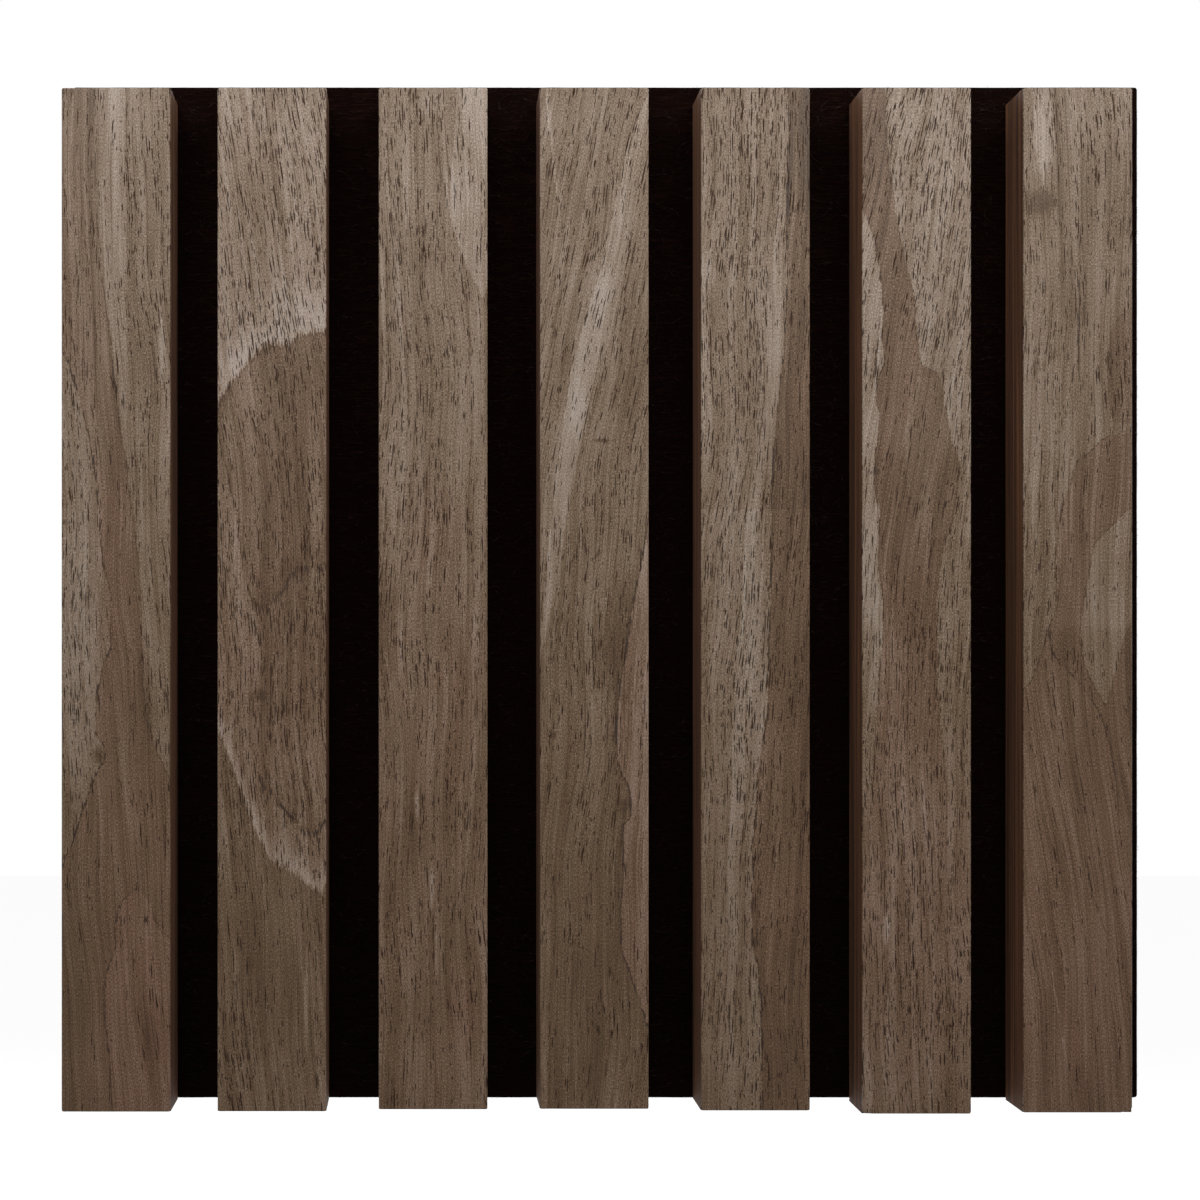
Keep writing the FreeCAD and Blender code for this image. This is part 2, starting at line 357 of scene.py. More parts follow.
def make_nap_shape(material):
    """Bent fibres scattered over the faces that a mesh calls bare, mostly lying level."""
    tree = Shaping("felt_nap")
    length, density = tree.ask("Fibre length"), tree.ask("Density")
    half, seed = tree.ask("Half size", "Vector"), tree.ask("Seed", "Int")
    bare = tree.add("GeometryNodeInputNamedAttribute", {"Name": "bare"}, data_type="FLOAT")
    local = tree.times(bare.outputs[0], density)
    scatter = {"Mesh": tree.start.outputs[0], "Density": local, "Seed": seed}
    spots = tree.add("GeometryNodeDistributePointsOnFaces", scatter)
    normal = spots.outputs["Normal"]
    limits = {0: [-way for way in FIBRE_WAYS], 1: FIBRE_WAYS, "Seed": seed}
    wild = tree.add("FunctionNodeRandomValue", limits, data_type="FLOAT_VECTOR").outputs[0]
    steep = tree.vector_math("DOT_PRODUCT", wild, normal)
    rise = tree.scaled(normal, tree.times(steep, FIBRE_LEVELLED))
    flat = tree.vector_math("SUBTRACT", wild, rise)
    turned = tree.add("FunctionNodeAlignRotationToVector", {"Vector": flat}, axis="X").outputs[0]
    upright = {"Rotation": turned, "Vector": normal}
    rotation = tree.add(
        "FunctionNodeAlignRotationToVector", upright, axis="Z", pivot_axis="X"
    ).outputs[0]
    fibres = tree.add("GeometryNodeJoinGeometry")
    ring = tree.add("GeometryNodeCurvePrimitiveCircle", {"Resolution": 3, "Radius": FIBRE_RADIUS})
    along = tree.add("GeometryNodeSplineParameter").outputs["Factor"]
    taper = tree.span(tree.math("ABSOLUTE", tree.minus(along, 0.5)), 0.3, 0.5, 1.0, 0.3)
    for sideways, up in FIBRE_BENDS:
        bend = {
            "Resolution": 4,
            "Start": (-0.5, 0.0, FIBRE_ROOT),
            "Middle": (0.0, 2 * sideways, 2 * up),
            "End": (0.5, 0.0, FIBRE_ROOT),
        }
        curve = tree.add("GeometryNodeCurveQuadraticBezier", bend).outputs[0]
        thin = tree.add("GeometryNodeSetCurveRadius", {"Curve": curve, "Radius": taper}).outputs[0]
        swept = {"Curve": thin, "Profile Curve": ring.outputs[0], "Fill Caps": True}
        solid = tree.add("GeometryNodeCurveToMesh", swept).outputs[0]
        one = tree.add("GeometryNodeGeometryToInstance", {0: solid}).outputs[0]
        tree.feed(fibres.inputs[0], one)
    place = tree.vector_math("ABSOLUTE", tree.add("GeometryNodeInputPosition").outputs[0])
    room_x, _, room_z = tree.parts(tree.vector_math("SUBTRACT", half, place))
    room = tree.over(tree.math("MINIMUM", room_x, room_z), length)
    sizes = {2: FIBRE_SIZES[0], 3: FIBRE_SIZES[1], "Seed": seed}
    varied = tree.add("FunctionNodeRandomValue", sizes, data_type="FLOAT").outputs[1]
    # Near the board's rim they are shorter, so that few reach far past it
    varied = tree.math("MINIMUM", varied, tree.math("MULTIPLY_ADD", room, 1.6, 0.14))
    placed = tree.add(
        "GeometryNodeInstanceOnPoints",
        {
            "Points": spots.outputs[0],
            "Instance": fibres.outputs[0],
            "Pick Instance": True,
            "Rotation": rotation,
            "Scale": tree.times(varied, length),
        },
    )
    tree.end(placed.outputs[0], material)
    return tree


def is_bare(middle, side):
    """Whether a place on the felt shows on that side, beside and past the slats."""
    in_back_half = middle.y > (FELT_LOW.y + FELT_HIGH.y) / 2
    if side == "back" or in_back_half:
        return side == "back" and in_back_half
    return not any(
        low.x < middle.x < high.x and low.z < middle.z < high.z for low, high in SLAT_BOXES
    )


def grow_nap(shape, side, seed):
    """The nap of one side of the board."""
    marked = felt_board.data.copy()
    bare = marked.attributes.new("bare", "FLOAT", "FACE")
    bare.data.foreach_set("value", [is_bare(face.center, side) for face in marked.polygons])
    settings = {
        "Fibre length": FIBRE_LENGTH,
        "Density": FIBRE_DENSITY[side],
        "Half size": felt_size / 2,
        "Seed": seed,
    }
    nap = shape.make(f"felt_nap_{side}", settings, base=marked)
    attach(nap, "root")


nap_shape = make_nap_shape(make_fibre_material())
for seed, side in enumerate(FIBRE_DENSITY):
    grow_nap(nap_shape, side, seed)

# Slat cores
# Strips of fibreboard, sawn from a board that was faced before, and stained dark brown all over.
# The saw left fine lengthwise marks on their long edges, and their ends show the cut fibres.

# Streaks of the stain: width and length in millimetres
STAIN_FINE = (0.35, 70.0)
STAIN_BROAD = (1.4, 160.0)
STAIN_FUZZ = (0.12, 1.6)
STAIN_DARK = (0.019, 0.0078, 0.0036)
STAIN_MID = (0.066, 0.0285, 0.0132)
STAIN_RED = (0.175, 0.075, 0.036)


def make_fibreboard_material():
    """Stain that took unevenly: streaks along the length, and specks on the ends."""
    material, tree, place = new_material("stained_fibreboard")

    def streaks(wide, long):
        return tree.vector_math("MULTIPLY", place, (0.5 / wide, 1 / wide, 1 / long))

    fine = tree.noise(streaks(*STAIN_FINE), 2.0, 0.6)
    broad = tree.noise(streaks(*STAIN_BROAD), 1.0, 0.5)
    fuzz = tree.noise(streaks(*STAIN_FUZZ), 1.0, 0.6)
    tone = tree.total(tree.times(fine, 0.55), tree.times(broad, 0.3), tree.times(fuzz, 0.15))
    colour = tree.mix(tree.span(tone, 0.4, 0.5), opaque(STAIN_DARK), opaque(STAIN_MID))
    colour = tree.mix(tree.span(tone, 0.5, 0.6), colour, opaque(STAIN_RED))
    height = tree.plus(fine, tree.times(fuzz, 0.5))
    finish_material(tree, colour, 0.72, height, bump=0.55, depth=0.12 * MM, Specular_IOR_Level=0.3)
    return material


fibreboard = make_fibreboard_material()
for name in SLATS:
    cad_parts[name].material_slots[0].material = fibreboard

# Veneer faces
# One sheet of walnut 0.6 mm thick is glued on each core's front. No two are from the same part of
# the log: each has its own grain, pale patches and dark open pores, under a thin coat of oil.

VENEER_CORNER = 0.5 * MM  # radius of a sheet's corners, seen from the front
VENEER_CORNER_STEPS = 4.0  # rows of its mesh in each of them
VENEER_EDGE = 0.22 * MM  # easing of its front edges
VENEER_RAG = 0.03 * MM  # how far splinters are missing along its edges
VENEER_SPLINTERS = 0.9 / MM  # in a metre
VENEER_CELL = 0.8 * MM  # a step of its mesh along the slat
VENEER_COLUMNS = 20  # of its mesh, across the slat
VENEER_LEVELS = 3  # of its mesh, from back to front


def make_veneer_shape(material):
    """A thin sheet with eased front edges, rounded corners, a ragged outline and one chip."""
    tree = Shaping("veneer_shape")
    middle, half = tree.ask("Middle", "Vector"), tree.ask("Half size", "Vector")
    corner, edge, rag = tree.ask("Corner radius"), tree.ask("Edge radius"), tree.ask("Raggedness")
    chip, chip_size = tree.ask("Chip", "Vector"), tree.ask("Chip size")
    cube, steps, (share_x, share_y, share_z) = tree.box()
    half_x, half_y, half_z = tree.parts(half)
    x = row_of_steps(tree, share_x, half_x, steps[0], corner, VENEER_CORNER_STEPS)
    z = row_of_steps(tree, share_z, half_z, steps[2], corner, VENEER_CORNER_STEPS)
    flat = tree.vector(x, 0.0, z)
    inner = tree.vector(tree.minus(half_x, corner), 0.0, tree.minus(half_z, corner))
    core = tree.held(flat, inner)
    out = tree.vector_math("SUBTRACT", flat, core)
    out_x, _, out_z = tree.parts(tree.vector_math("ABSOLUTE", out))
    longer = tree.math("MAXIMUM", out_x, out_z)
    length = tree.math("MAXIMUM", tree.vector_math("LENGTH", out), 1e-7)
    rounded = tree.vector_math("ADD", core, tree.scaled(out, tree.over(longer, length)))
    inward = tree.minus(corner, longer)
    short = tree.math("MAXIMUM", tree.minus(edge, inward), 0.0)
    squares = tree.minus(tree.math("POWER", edge, 2.0), tree.math("POWER", short, 2.0))
    eased = tree.minus(edge, tree.math("SQRT", tree.math("MAXIMUM", squares, 0.0)))
    front = tree.math("LESS_THAN", share_y, -0.99)
    down = tree.span(share_y, -1.0, 1.0, edge, tree.times(half_y, 2.0), "LINEAR")
    depth = tree.add("ShaderNodeMix", {0: front, 2: down, 3: eased}, data_type="FLOAT").outputs[0]
    y = tree.minus(depth, half_y)
    reach = tree.span(inward, 0.0, corner, 1.0, 0.0)
    placed = tree.vector_math("ADD", rounded, middle)
    flat_scale = (VENEER_SPLINTERS, 0.0, VENEER_SPLINTERS)
    splinters = tree.noise(tree.vector_math("MULTIPLY", placed, flat_scale), 3.0, 0.7)
    loss = tree.span(splinters, 0.42, 0.78, 0.0, rag)
    to_corner = tree.vector_math("SUBTRACT", placed, chip)
    chipped = tree.span(tree.vector_math("LENGTH", to_corner), 0.0, chip_size, chip_size, 0.0)
    centred = tree.vector_math("NORMALIZE", tree.vector_math("SUBTRACT", rounded, core))
    pull = tree.times(tree.plus(loss, tree.times(chipped, 0.8)), reach)
    torn = tree.vector_math("SUBTRACT", placed, tree.scaled(centred, pull))
    final = tree.vector_math("ADD", torn, tree.vector(y=y))
    sheet = tree.add("GeometryNodeSetPosition", {"Geometry": cube, "Position": final}).outputs[0]
    tree.end(sheet, material)
    return tree


@dataclass
class Seam:
    """A line at which the wood changes, and what is different past it.

    Its path is given in millimetres: from the slat's left edge, and up from the panel's middle.
    A seam along the slat changes what is right of it, and one across it what is above it. Where
    it has a second path, the change ends there.
    """

    path: tuple
    until: tuple = ()
    across: bool = False
    light: float = 0.0
    red: float = 0.0
    pores: float = 0.0
    soft: float = 0.3  # width of the change
    line: float = 0.0  # how dark a fine line on the seam is
    glow: float = 0.0  # how much lighter a band past the seam is
    reach: float = 3.0  # width of that band
    fade: float = 0.0  # over how much of both ends of its path it fades in


@dataclass
class Patch:
    """A soft oval of another tone, in the same millimetres."""

    place: tuple
    size: tuple  # how far it reaches sideways, and up and down
    light: float = 0.0
    red: float = 0.0
    pores: float = 0.0


@dataclass
class Sheet:
    """What is particular to one slat's veneer."""

    figure: tuple
    drift: tuple  # path of one line of grain
    light: float = 0.0
    red: float = 0.0
    pores: float = 0.22
    chip: tuple = (0.0, 0.0)  # sideways and up from the sheet's middle, in halves of its size
    chip_size: float = 0.0


# Paths that two features share: the arch on the second slat, and one side of the sixth's wedge
ARCH = (
    (-1, 44), (2.8, 50.5), (6.4, 55), (9.9, 58.7), (13.5, 61), (18, 60.5), (19.4, 62.5), (23, 63.5),
    (28, 64),
)
WEDGE_SIDE = (
    (0, 95), (1.7, 90.6), (3.4, 84.7), (4.6, 77.6), (5.2, 70.5), (4.8, 63.5), (5.5, 57.6), (4.6, 54),
    (3.5, 49.3), (4, 42.2), (3, 28), (4.2, 18.6), (4, 7),
)

SHEETS = {}


def add_sheet(number, *figure, **settings):
    """Notes the veneer of one slat: its seams and patches, and its settings."""
    SHEETS[number] = Sheet(figure, **settings)


add_sheet(
    1,
    Seam(
        ((-3, 134), (-3, 72), (0, 61), (4, 49), (6.7, 38), (8.9, 24), (10.3, 7), (12.2, -4),
         (12.2, -12), (10, -20), (8.6, -30), (8.7, -36), (10.8, -40), (8.8, -45), (6.5, -51), (3, -62),
         (-1, -75), (-3, -134)),
        until=((8, 134), (9, 90), (12, 62), (14.6, 40), (16.8, 26), (18.6, 12), (19.5, 0), (20.9, -30),
               (30, -62), (30, -134)),
        light=-0.045, red=0.35, pores=-0.12, line=0.3,
    ),
    Seam(
        ((19, -74), (14.8, -78), (13.5, -83), (13, -90), (11.2, -95), (10.6, -103), (11.8, -115),
         (12.4, -134)),
        until=((19, -74), (21.8, -77), (23.6, -83), (29, -90), (30, -134)),
        light=0.035, red=0.35, line=0.24,
    ),
    Seam(
        ((9, 134), (10, 90), (12.2, 62), (16, 38)),
        until=((16, 134), (15.6, 84), (16.2, 60), (16, 38)),
        light=0.05, pores=-0.15, soft=1.2,
    ),
    Patch((24.8, 59), (0.9, 7), light=0.1),
    Patch((9.2, -41), (1.6, 2.2), light=-0.12),
    Patch((6, 20), (5, 30), light=0.03),
    Patch((5, 45), (9, 80), light=0.025),
    Patch((3, -20), (6, 34), light=0.04, pores=0.2),
    Patch((12, 5), (5, 26), red=0.3, pores=-0.15),
    Patch((3, 40), (4, 60), pores=0.2),
    Patch((24, -112), (5, 10), light=-0.05),
    Patch((2, -95), (6, 36), light=-0.015, red=-0.3),
    drift=((12.0, -130), (5.0, 0), (3.0, 60), (1.0, 130)),
)

add_sheet(
    2,
    Seam(
        ((-1, 44), (4.2, 20), (6, 8), (8.7, -3), (11, -5), (13.3, -3), (16.7, 0), (19, 4), (23, 5),
         (28, 6)),
        until=ARCH, across=True, light=-0.045, red=0.1, pores=-0.12, line=0.16,
    ),
    Seam(ARCH, across=True, line=0.08, glow=0.13, reach=15.0, fade=1.0),
    Seam(
        ((-1, -33), (2.2, -40), (6.0, -51), (9.2, -59), (12.5, -66), (16.9, -69), (21, -72), (24, -75),
         (28, -72)),
        across=True, light=0.05, red=0.2, line=0.07, glow=0.12, reach=9.0, pores=0.15,
    ),
    Seam(
        ((9.5, -44), (11.5, -49), (14.5, -52), (17, -55), (19.8, -58), (23, -60), (28, -57)),
        across=True, line=0.34, light=-0.03, fade=1.5,
    ),
    Patch((1, 49), (3.5, 6), light=-0.08),
    Patch((19, 72), (8, 5), light=0.05),
    Patch((2, 104), (2.0, 17), light=0.05),
    Patch((13, 100), (24, 30), pores=-0.12),
    Patch((21, 104), (7, 24), light=0.045),
    Patch((6, 106), (7, 22), light=-0.05),
    Patch((10.4, -26), (2.4, 1.6), light=-0.08),
    Patch((3, -36), (0.9, 7), light=0.06),
    Patch((12, -92), (24, 34), light=-0.05, pores=-0.1),
    Patch((13, -22), (24, 32), light=-0.05, red=0.15),
    Patch((12, 20), (20, 36), light=-0.02),
    Patch((21, -16), (10, 26), light=-0.035),
    Patch((1, 26), (5, 20), light=-0.03),
    Patch((5, -112), (6, 18), pores=0.35),
    Patch((22, -103), (0.6, 12), light=0.12),
    drift=((19.0, -130), (14.0, -60), (11.0, 0), (7.0, 50), (-2.0, 130)),
    pores=0.3,
)

add_sheet(
    3,
    Seam(
        ((-3, 134), (-3, -10)),
        until=((9.4, 134), (8, 101), (6.4, 77), (6.8, 58), (8, 42), (9.4, 30), (9.8, 20), (8.0, 10),
               (-3, -10)),
        light=0.02, pores=0.2, line=0.07, soft=0.8,
    ),
    Seam(
        ((20, 134), (18.2, 108), (17.4, 96), (19, 88), (22, 80), (26, 72)),
        until=((34, 134), (33, 100), (30, 84), (26, 72)),
        light=0.08, soft=0.6, line=0.04, pores=-0.1,
    ),
    Seam(((3.3, -72), (4.2, -82), (5.7, -97)), line=0.16, fade=5.0),
    Patch((12.8, 121), (2.8, 4), light=0.06),
    Patch((13, 55), (3.5, 30), pores=0.15),
    Patch((20.5, 100), (4, 9), light=0.05),
    Patch((12, 12), (9, 14), red=0.25),
    Patch((2, -1), (2.6, 24), light=-0.06),
    Patch((5.3, -15), (0.9, 10), light=0.08),
    Patch((20, -22), (6, 22), red=0.3, pores=-0.1),
    Patch((12, -70), (30, 70), red=0.15, light=-0.03, pores=0.1),
    Patch((20, 48), (6, 24), light=0.03),
    Patch((9.4, -53), (0.6, 4), light=0.12),
    Patch((13.2, -74), (0.6, 6), light=0.12),
    Patch((15, -87), (1.1, 9), light=0.08),
    Patch((21, -105), (4, 10), red=0.3),
    drift=((12.0, -130), (11.0, -60), (12.0, 20), (13.0, 60), (10.0, 130)),
    red=0.1,
)

add_sheet(
    4,
    Seam(
        ((30, 130), (21, 108), (17.4, 90), (12.6, 72), (7.8, 55), (5.6, 40), (3, 20), (1, 0),
         (-2, -25)),
        until=((36, 130), (26.5, 108), (23, 89), (19.4, 71), (15.6, 54), (11.5, 40), (7, 20), (4, 0),
               (-2, -25)),
        light=0.065, line=0.1, soft=0.6, pores=-0.05,
    ),
    Seam(((0.5, 134), (2.7, 110), (5, 92)), line=0.03, glow=0.1, reach=1.2, fade=8.0),
    Seam(
        ((29, 30), (25, 6), (23.2, -3), (21.5, -15), (19.7, -26), (19, -38), (19.8, -44), (22.4, -51),
         (22.5, -56), (20.6, -59), (20.8, -69), (20.2, -79), (20.2, -87), (22, -94), (25.5, -104),
         (29, -116)),
        light=0.07, red=0.45, pores=-0.15, line=0.32,
    ),
    Patch((15, 75), (2.8, 8), light=0.05),
    Patch((9.4, 46), (2.2, 9), light=0.06),
    Patch((23, 50), (4.5, 24), light=-0.05, red=-0.1),
    Patch((22.5, 84), (2.0, 5), pores=0.5),
    Patch((15.6, 37), (2.6, 0.5), light=-0.12),
    Patch((20.8, -54), (1.8, 2.6), light=-0.07),
    Patch((12, -75), (26, 70), light=-0.055),
    Patch((21, -14), (6, 22), light=-0.05),
    Patch((23, -90), (6, 34), light=-0.035),
    drift=((-3.0, -130), (-2.0, -60), (2.0, 0), (9.0, 60), (22.0, 130)),
)

add_sheet(
    5,
    Seam(
        ((21.8, 134), (21.4, 98), (21.2, 72), (20.5, 60), (19.4, 49), (18.2, 36), (17.6, 25), (17.3, 4),
         (16.8, -14), (16.4, -31), (14.8, -40), (13.9, -50), (13.2, -62), (12.6, -85), (14.6, -97),
         (15.3, -134)),
        light=-0.1, red=0.3, pores=-0.1, line=0.26, soft=0.4,
    ),
    Seam(((11.0, 104), (12.0, 70), (13.4, 36)), light=0.02, line=0.04, soft=1.0, fade=16.0),
    Seam(((-2, 20), (3.0, -30), (5.0, -134)), light=0.03, pores=0.1, soft=0.8),
    Patch((1.6, 79), (1.8, 5), light=0.08),
    Patch((13.8, 58), (2.4, 28), pores=0.45),
    Patch((18.3, 62), (2.6, 22), light=0.06, pores=-0.3),
    Patch((11.5, -18), (5.5, 40), light=0.045, pores=0.2),
    Patch((6, 50), (8, 36), light=0.035, pores=0.1),
    Patch((12, 104), (16, 24), pores=0.15, light=0.02),
    Patch((23, -78), (3.4, 11), light=0.03, red=0.3),
    Patch((6, -100), (4, 22), pores=0.2),
    drift=((11.0, -130), (14.0, -40), (17.0, 20), (20.0, 80), (22.0, 130)),
    pores=0.3,
)

add_sheet(
    6,
    Seam(
        ((-4, 96), (-4, -12)),
        until=((-1, 98), *WEDGE_SIDE, (4, -12)),
        light=0.07, pores=-0.1, fade=6.0,
    ),
    Seam(
        ((-3, 170), (-3, 104), *WEDGE_SIDE, (5.2, -3), (4.4, -20), (3, -40), (2, -62)),
        until=((4.8, 170), (4.8, 134), (5.8, 118), (6.4, 108), (7.3, 101), (8.5, 92), (9.9, 85),
               (11.4, 78), (12.9, 72), (13.5, 63), (14.6, 56), (19.0, 53.5), (20.5, 45), (22, 37.5),
               (24, 30), (23, 20), (20, 10), (18.4, -5), (19, -30), (23, -62)),
        light=-0.065, red=0.45, pores=-0.2, line=0.22, fade=36.0,
    ),
    Seam(
        ((4.8, 134), (5.8, 118), (7.3, 101), (9.9, 85), (12.9, 72), (13.5, 63), (14.6, 56),
         (19.0, 53.5), (22, 37.5), (30, 22)),
        light=0.04, pores=0.22, fade=0.5,
    ),
    Seam(
        ((13.5, 53.5), (12, 46), (10.6, 40), (10.6, 34), (11.2, 24), (13.5, 12)),
        light=0.035, red=-0.2, line=0.05, fade=1.5,
    ),
    Patch((9.0, 119), (3.2, 6), light=0.06, pores=-0.4),
    Patch((14, -14), (5, 9), pores=0.5),
    Patch((20, 50), (7, 30), light=0.025),
    Patch((21, -15), (3.0, 14), pores=0.3),
    Patch((8, -30), (5.0, 30), light=0.04, pores=0.2),
    Patch((3, -10), (5.0, 24), light=0.04),
    Patch((15, -85), (30, 50), red=0.4, pores=0.2),
    Patch((20, 104), (5, 22), light=0.03),
    Patch((6, -84), (0.8, 4), light=0.14),
    Patch((6.2, -112), (1.0, 12), light=0.06, pores=0.8),
    Patch((22, -108), (2.4, 14), pores=0.35),
    drift=((14.0, -130), (12.0, -60), (14.0, 0), (18.0, 40), (32.0, 130)),
    pores=0.3,
    chip=(-1.0, -1.0),
    chip_size=0.7 * MM,
)

add_sheet(
    7,
    Seam(
        ((29, 72), (22.6, 66), (21.0, 55), (22.2, 42), (29, 41)),
        red=0.3, light=-0.03, line=0.08,
    ),
    Seam(
        ((29, 39), (23.4, 38.7), (19.8, 37.5), (16.3, 34), (13.3, 31.6), (12.1, 27), (9.8, 21),
         (8.6, 15), (8, 7), (8.2, -2), (6, -10), (3, -20), (-3, -34), (-3, -134)),
        light=-0.04, red=0.4, pores=-0.12, line=0.2,
    ),
    Seam(
        ((6, -8), (7.5, -16), (11, -20), (15, -25), (19, -31), (22, -42), (24, -58)),
        line=0.26, light=-0.025, fade=3.0,
    ),
    Seam(
        ((30, 22), (25, 19), (21, 15), (18, 11.6), (16.4, 5.7), (15.0, -3), (14.0, -10), (15.1, -18),
         (17.5, -24), (20.5, -29)),
        until=((33, 22), (32, 15), (30, 0), (25, -12), (22.4, -22), (20.5, -29)),
        light=0.065, red=-0.4, line=0.14, soft=0.8,
    ),
    Seam(((12.8, 82), (13.9, 72), (13.6, 62), (14, 49)), line=0.2, fade=4.0),
    Seam(((14.5, -62), (17.5, -76), (23.2, -93)), line=0.12, fade=8.0),
    Seam(((2.0, -68), (4.5, -82), (8.5, -104), (12, -125)), line=-0.12, fade=10.0),
    Seam(((1.5, 54), (5.0, 56), (9.0, 59)), across=True, line=0.12, fade=1.5),
    Patch((4.6, 112), (2.6, 11), light=0.13, pores=-0.2),
    Patch((4.2, 96), (4.4, 3.4), light=-0.1),
    Patch((13.5, 112), (2.2, 20), light=0.04),
    Patch((13, -113), (2.4, 7), red=0.4),
    Patch((4, 42), (8, 34), light=0.045),
    Patch((16, 20), (14, 26), light=0.025),
    Patch((10, -98), (22, 36), light=0.025, red=0.15),
    Patch((12, -17), (4.5, 4), pores=0.5),
    drift=((20.0, -130), (13.0, -60), (8.0, 0), (10.0, 60), (9.0, 130)),
    light=-0.01,
    pores=0.18,
    chip=(1.0, -1.0),
    chip_size=1.3 * MM,
)

# In millimetres, as the figure is
PANEL_HALF = 130.0  # from the panel's middle to past both ends of a slat
SLAT_WIDTH = 27.0
PAST_EDGE = 5.0  # how far a path may leave the slat
SHEET_APART = 131.0  # how far apart in the pattern the sheets are taken from
LINE_WIDTH = 0.32  # of the dark line on a seam along the slat, to each side
LINE_WIDTH_ACROSS = 1.2
SOFTER_ACROSS = 3.0  # how many times wider the change is at a seam across the slat
LINE_STRENGTHS = (1.0, 0.4)  # on a seam's first path and on its second
PATCH_EDGE = (0.35, 1.35)  # where a patch starts to fade and where it ends, as shares of its size
TEETH_ALONG = (0.5, 5.0, 0.8)  # of seams along the slat: width, length and amount
TEETH_ACROSS = (0.4, 8.0, 3.0)
LINE_BREAKS = (2.5, 7.0, 1.0)

# Swings of the tone, the redness and the pores: width, length and amount
GRAIN_BROAD = (3.2, 90.0, 0.2)
GRAIN_MIDDLE = (1.0, 36.0, 0.17)
GRAIN_SPECKS = (0.2, 0.5, 0.45)
GRAIN_THREADS = (0.3, 40.0, 0.5)
CLOUDS = (12.0, 22.0, 0.11)
WARP = (25.0, 60.0, 3.0)
RED_STREAKS = (2.2, 30.0, 0.3)
PORE_STREAKS = (2.4, 16.0, 0.7)
FIBRE_RIDGES = (0.25, 5.0, 1.0)
THREADS_DARK = 0.18  # how much darker the thin threads are

# Pores: the room for one, across and along, their width, and how far aside they start
PORES_LONG = (0.7, 7.0, 0.34, 0.0)
PORES_SHORT = (0.5, 3.2, 0.29, 0.3)
SHORT_SHARE = 0.75  # how many of the short ones there are
PORE_EDGE = (-0.015, 0.045)  # where its dark starts and is full, as shares of its room

FIGURE_STRENGTH = 2.2  # how much the lightness of seams and patches counts
WOOD_LIGHTNESS = 0.55
WOOD_STOPS = (
    (0.0, (0.02, 0.01, 0.005)),
    (0.25, (0.055, 0.0288, 0.011)),
    (0.5, (0.134, 0.0848, 0.0485)),
    (0.75, (0.248, 0.188, 0.143)),
    (1.0, (0.38, 0.322, 0.275)),
)
WOOD_RED = (1.09, 0.93, 0.98)  # what the tones are multiplied by where the wood is reddish
PORES_RISE = 0.0008  # how much more there are with each millimetre up
PAINTED_FALLOFF_RED_RISE = -0.0016  # painted light: how much redder the wood is with each millimetre up, negative, so the top is paler where the lamp's sheen falls
PAINTED_FALLOFF_YELLOW = (1.0, 0.985, 0.92)  # painted light: what the tones are multiplied by at the lower end, warmer where the lamp's sheen has fallen off
PORE_BROWN = (0.018, 0.006, 0.0016)


def share_of(value, low, high):
    """How far along from low to high a number is."""
    return (value - low) / (high - low)


def curve_through(tree, value, points, low, high):
    """A smooth curve through points, held past both ends, with answers between low and high."""
    node = tree.add("ShaderNodeFloatCurve", {"Factor": 1.0, "Value": value})
    curve = node.mapping.curves[0]
    for _ in range(len(points) - 2):
        curve.points.new(0.5, 0.5)
    for point, (position, answer) in zip(curve.points, sorted(points)):
        point.location = (position, share_of(answer, low, high))
        point.handle_type = "AUTO_CLAMPED"
    node.mapping.update()
    return tree.math("MULTIPLY_ADD", node.outputs[0], high - low, low)


def trace(tree, points, position, low, high, answers):
    """The answer of a path at a position: where a line lies at some place along it."""
    steps = [(share_of(at, low, high), answer) for at, answer in points]
    share = tree.span(position, low, high, 0.0, 1.0, "LINEAR")
    return curve_through(tree, share, steps, *answers)


def presence(tree, position, low, high, fade):
    """One between two ends, which fades to nothing at them."""
    rising = tree.span(position, low, low + fade)
    falling = tree.span(position, high - fade, high, 1.0, 0.0)
    return tree.times(rising, falling)


def swing(tree, place, wide, long, amount, detail=2.0, roughness=0.6):
    """Flat noise that swings about nothing by an amount, in lumps so wide and so long."""
    shrunk = tree.vector_math("MULTIPLY", place, (1 / wide, 1 / long, 0.0))
    lumps = tree.noise(shrunk, detail, roughness, "2D")
    return tree.math("MULTIPLY_ADD", lumps, 2 * amount, -amount)


